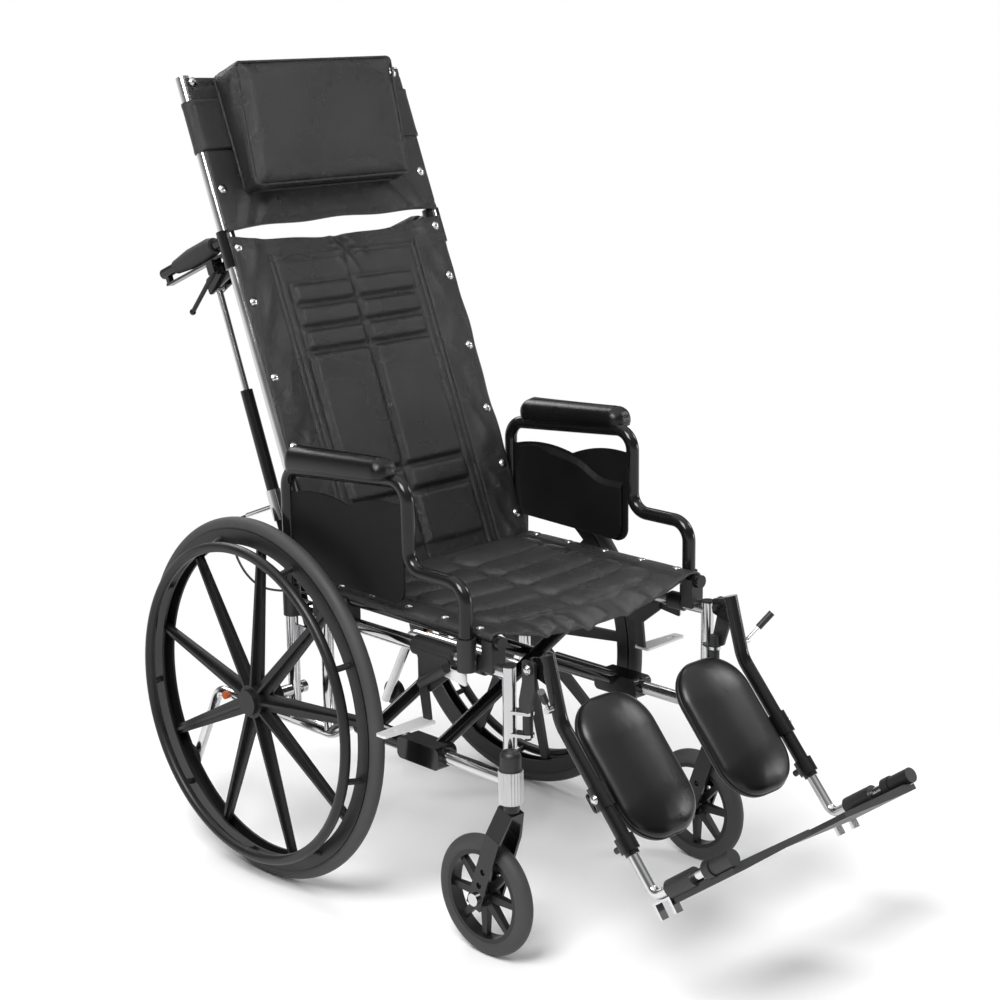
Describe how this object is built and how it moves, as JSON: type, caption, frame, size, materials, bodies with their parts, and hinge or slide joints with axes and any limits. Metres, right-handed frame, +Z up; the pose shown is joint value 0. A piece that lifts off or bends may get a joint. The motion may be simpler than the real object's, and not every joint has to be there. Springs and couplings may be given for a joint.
{
  "type": "reclining wheelchair",
  "caption": "Folding wheelchair with a reclining high back, headrest pillow, large rear wheels with handrims, swivel casters, lift-off arms and elevating legrests with flip-up footplates.",
  "frame": {"origin": "on the floor under the middle of the chair's bounding box", "axes": "+Z up, -Y is the way the sitter faces, +X the sitter's left"},
  "size_m": [0.685, 1.254, 1.3305],
  "materials": {
    "chrome_tube": "bright chrome plate",
    "black_metal": "gloss black",
    "white_metal": "satin white",
    "black_plastic": "satin black",
    "panel_plastic": "matte black",
    "grip_plastic": "matte black",
    "wheel_plastic": "satin black",
    "tyre_rubber": "dark grey rubber",
    "orange_plastic": "gloss orange",
    "vinyl": "soft charcoal vinyl"
  },
  "bodies": {
    "right_frame": {"right_side_frame": "chrome_tube", "right_frame_fittings": "black_plastic", "right_wheel_lock": "black_metal", "right_release_cable": "black_plastic"},
    "right_wheel": {"right_rear_wheel": "wheel_plastic", "right_rear_tyre": "tyre_rubber"},
    "right_fork": {"right_caster_fork": "black_metal"},
    "right_caster": {"right_caster_wheel": "wheel_plastic", "right_caster_tyre": "tyre_rubber"},
    "right_back": {"right_back_post": "chrome_tube", "right_push_handle": "grip_plastic", "back_upholstery": "vinyl", "head_upholstery": "vinyl", "headrest_pillow": "vinyl"},
    "right_recline_handle": {"right_recline_lever": "black_metal"},
    "right_strut": {"right_strut_cylinder": "black_metal"},
    "right_strut_piston": {"right_strut_rod": "chrome_tube"},
    "right_arm": {"right_arm_frame": "black_metal", "right_arm_pad": "vinyl", "right_side_panel": "panel_plastic"},
    "right_hanger": {"right_legrest_hanger": "black_metal"},
    "right_leg": {"right_legrest_tube": "black_metal", "right_calf_pad": "vinyl"},
    "right_leg_release": {"right_legrest_lever": "black_metal"},
    "right_foot": {"right_footrest_rod": "chrome_tube"},
    "right_plate": {"right_footplate": "black_plastic"},
    "right_lock": {"right_wheel_lock_lever": "white_metal"},
    "right_tipper": {"right_anti_tipper": "chrome_tube"},
    "right_tip_wheel": {"right_anti_tip_wheel": "tyre_rubber"},
    "right_tip_button": {"right_anti_tip_button": "orange_plastic"},
    "left_frame": {"left_side_frame": "chrome_tube", "left_frame_fittings": "black_plastic", "left_wheel_lock": "black_metal", "left_release_cable": "black_plastic"},
    "left_wheel": {"left_rear_wheel": "wheel_plastic", "left_rear_tyre": "tyre_rubber"},
    "left_fork": {"left_caster_fork": "black_metal"},
    "left_caster": {"left_caster_wheel": "wheel_plastic", "left_caster_tyre": "tyre_rubber"},
    "left_back": {"left_back_post": "chrome_tube", "left_push_handle": "grip_plastic"},
    "left_recline_handle": {"left_recline_lever": "black_metal"},
    "left_strut": {"left_strut_cylinder": "black_metal"},
    "left_strut_piston": {"left_strut_rod": "chrome_tube"},
    "left_arm": {"left_arm_frame": "black_metal", "left_arm_pad": "vinyl", "left_side_panel": "panel_plastic"},
    "left_hanger": {"left_legrest_hanger": "black_metal"},
    "left_leg": {"left_legrest_tube": "black_metal", "left_calf_pad": "vinyl"},
    "left_leg_release": {"left_legrest_lever": "black_metal"},
    "left_foot": {"left_footrest_rod": "chrome_tube"},
    "left_plate": {"left_footplate": "black_plastic"},
    "left_lock": {"left_wheel_lock_lever": "white_metal"},
    "left_tipper": {"left_anti_tipper": "chrome_tube"},
    "left_tip_wheel": {"left_anti_tip_wheel": "tyre_rubber"},
    "left_tip_button": {"left_anti_tip_button": "orange_plastic"},
    "right_cross": {"right_cross_brace": "black_metal", "seat_upholstery": "vinyl"},
    "left_cross": {"left_cross_brace": "black_metal"}
  },
  "joints": [
    {"name": "fold", "type": "hinge", "parent": "right_frame", "child": "right_cross", "pos_m": [-0.225, 0.30901, 0.284], "axis": [0, -1, 0], "range_deg": [0, 14], "deforming": ["seat_upholstery", "back_upholstery", "head_upholstery", "headrest_pillow"]},
    {"name": "fold_middle", "type": "hinge", "parent": "right_cross", "child": "left_cross", "pos_m": [0, 0.30901, 0.389], "axis": [0, -1, 0], "range_deg": [-28, 0]},
    {"name": "fold_left", "type": "hinge", "parent": "left_cross", "child": "left_frame", "pos_m": [0.225, 0.30901, 0.284], "axis": [0, -1, 0], "range_deg": [0, 14]},
    {"name": "right_wheel_spin", "type": "hinge", "parent": "right_frame", "child": "right_wheel", "pos_m": [-0.296, 0.30901, 0.305], "axis": [1, 0, 0], "continuous": true},
    {"name": "right_caster_swivel", "type": "hinge", "parent": "right_frame", "child": "right_fork", "pos_m": [-0.246, -0.22799, 0.262], "axis": [0, 0, 1], "continuous": true},
    {"name": "right_caster_spin", "type": "hinge", "parent": "right_fork", "child": "right_caster", "pos_m": [-0.246, -0.17099, 0.096], "axis": [1, 0, 0], "continuous": true},
    {"name": "right_recline", "type": "hinge", "parent": "right_frame", "child": "right_back", "pos_m": [-0.225, 0.21801, 0.485], "axis": [-1, 0, 0], "range_deg": [-14, 44], "deforming": ["right_release_cable"]},
    {"name": "right_strut_tilt", "type": "hinge", "parent": "right_frame", "child": "right_strut", "pos_m": [-0.201, 0.28901, 0.402], "axis": [-1, 0, 0], "range_deg": [-13.87, 42.52]},
    {"name": "right_strut_slide", "type": "slide", "parent": "right_strut", "child": "right_strut_piston", "axis": [0, 0.3586, 0.9335], "range_m": [-0.07976, 0.02606]},
    {"name": "right_recline_lever_pull", "type": "hinge", "parent": "right_back", "child": "right_recline_handle", "pos_m": [-0.225, 0.47561, 0.99166], "axis": [1, 0, 0], "range_deg": [0, 14], "stiffness_Nm_per_rad": 0.8},
    {"name": "right_arm_lift", "type": "slide", "parent": "right_frame", "child": "right_arm", "axis": [0, 0, 1], "range_m": [0, 0.12]},
    {"name": "right_legrest_swing", "type": "hinge", "parent": "right_frame", "child": "right_hanger", "pos_m": [-0.213, -0.23199, 0.357], "axis": [0, 0, -1], "range_deg": [0, 90]},
    {"name": "right_legrest_elevation", "type": "hinge", "parent": "right_hanger", "child": "right_leg", "pos_m": [-0.207, -0.24399, 0.467], "axis": [-1, 0, 0], "range_deg": [-10, 48]},
    {"name": "right_legrest_lever_pull", "type": "hinge", "parent": "right_leg", "child": "right_leg_release", "pos_m": [-0.2238, -0.28699, 0.415], "axis": [-1, 0, 0], "range_deg": [0, 12], "stiffness_Nm_per_rad": 0.3},
    {"name": "right_footrest_extension", "type": "slide", "parent": "right_leg", "child": "right_foot", "axis": [0, -0.6534, -0.757], "range_m": [0, 0.08]},
    {"name": "right_footplate_flip", "type": "hinge", "parent": "right_foot", "child": "right_plate", "pos_m": [-0.207, -0.47925, 0.17953], "axis": [0, -0.8039, 0.5948], "range_deg": [0, 90]},
    {"name": "right_wheel_lock_push", "type": "hinge", "parent": "right_frame", "child": "right_lock", "pos_m": [-0.236, -0.03599, 0.402], "axis": [1, 0, 0], "range_deg": [0, 42]},
    {"name": "right_anti_tipper_pull", "type": "slide", "parent": "right_frame", "child": "right_tipper", "axis": [0, 1, 0], "range_m": [0, 0.05]},
    {"name": "right_anti_tip_spin", "type": "hinge", "parent": "right_tipper", "child": "right_tip_wheel", "pos_m": [-0.225, 0.60001, 0.109], "axis": [1, 0, 0], "continuous": true},
    {"name": "right_anti_tip_press", "type": "slide", "parent": "right_tipper", "child": "right_tip_button", "axis": [1, 0, 0], "range_m": [0, 0.004], "stiffness_N_per_m": 400},
    {"name": "left_wheel_spin", "type": "hinge", "parent": "left_frame", "child": "left_wheel", "pos_m": [0.296, 0.30901, 0.305], "axis": [1, 0, 0], "continuous": true},
    {"name": "left_caster_swivel", "type": "hinge", "parent": "left_frame", "child": "left_fork", "pos_m": [0.246, -0.22799, 0.262], "axis": [0, 0, 1], "continuous": true},
    {"name": "left_caster_spin", "type": "hinge", "parent": "left_fork", "child": "left_caster", "pos_m": [0.246, -0.17099, 0.096], "axis": [1, 0, 0], "continuous": true},
    {"name": "left_recline", "type": "hinge", "parent": "left_frame", "child": "left_back", "pos_m": [0.225, 0.21801, 0.485], "axis": [-1, 0, 0], "range_deg": [-14, 44], "deforming": ["left_release_cable"]},
    {"name": "left_strut_tilt", "type": "hinge", "parent": "left_frame", "child": "left_strut", "pos_m": [0.201, 0.28901, 0.402], "axis": [-1, 0, 0], "range_deg": [-13.87, 42.52]},
    {"name": "left_strut_slide", "type": "slide", "parent": "left_strut", "child": "left_strut_piston", "axis": [0, 0.3586, 0.9335], "range_m": [-0.07976, 0.02606]},
    {"name": "left_recline_lever_pull", "type": "hinge", "parent": "left_back", "child": "left_recline_handle", "pos_m": [0.225, 0.47561, 0.99166], "axis": [1, 0, 0], "range_deg": [0, 14], "stiffness_Nm_per_rad": 0.8},
    {"name": "left_arm_lift", "type": "slide", "parent": "left_frame", "child": "left_arm", "axis": [0, 0, 1], "range_m": [0, 0.12]},
    {"name": "left_legrest_swing", "type": "hinge", "parent": "left_frame", "child": "left_hanger", "pos_m": [0.213, -0.23199, 0.357], "axis": [0, 0, 1], "range_deg": [0, 90]},
    {"name": "left_legrest_elevation", "type": "hinge", "parent": "left_hanger", "child": "left_leg", "pos_m": [0.207, -0.24399, 0.467], "axis": [-1, 0, 0], "range_deg": [-10, 48]},
    {"name": "left_legrest_lever_pull", "type": "hinge", "parent": "left_leg", "child": "left_leg_release", "pos_m": [0.2238, -0.28699, 0.415], "axis": [-1, 0, 0], "range_deg": [0, 12], "stiffness_Nm_per_rad": 0.3},
    {"name": "left_footrest_extension", "type": "slide", "parent": "left_leg", "child": "left_foot", "axis": [0, -0.6534, -0.757], "range_m": [0, 0.08]},
    {"name": "left_footplate_flip", "type": "hinge", "parent": "left_foot", "child": "left_plate", "pos_m": [0.207, -0.47925, 0.17953], "axis": [0, 0.8039, -0.5948], "range_deg": [0, 90]},
    {"name": "left_wheel_lock_push", "type": "hinge", "parent": "left_frame", "child": "left_lock", "pos_m": [0.236, -0.03599, 0.402], "axis": [1, 0, 0], "range_deg": [0, 42]},
    {"name": "left_anti_tipper_pull", "type": "slide", "parent": "left_frame", "child": "left_tipper", "axis": [0, 1, 0], "range_m": [0, 0.05]},
    {"name": "left_anti_tip_spin", "type": "hinge", "parent": "left_tipper", "child": "left_tip_wheel", "pos_m": [0.225, 0.60001, 0.109], "axis": [1, 0, 0], "continuous": true},
    {"name": "left_anti_tip_press", "type": "slide", "parent": "left_tipper", "child": "left_tip_button", "axis": [-1, 0, 0], "range_m": [0, 0.004], "stiffness_N_per_m": 400}
  ],
  "couplings": [
    {"joint": "fold_middle", "follows": "fold", "ratio": -2},
    {"joint": "fold_left", "follows": "fold", "ratio": 1},
    {"joint": "right_strut_tilt", "follows": "right_recline", "ratio": 0.955},
    {"joint": "right_strut_slide", "follows": "right_recline", "m_per_rad": -0.10256},
    {"joint": "left_recline", "follows": "right_recline", "ratio": 1},
    {"joint": "left_strut_tilt", "follows": "right_recline", "ratio": 0.955},
    {"joint": "left_strut_slide", "follows": "right_recline", "m_per_rad": -0.10256}
  ]
}
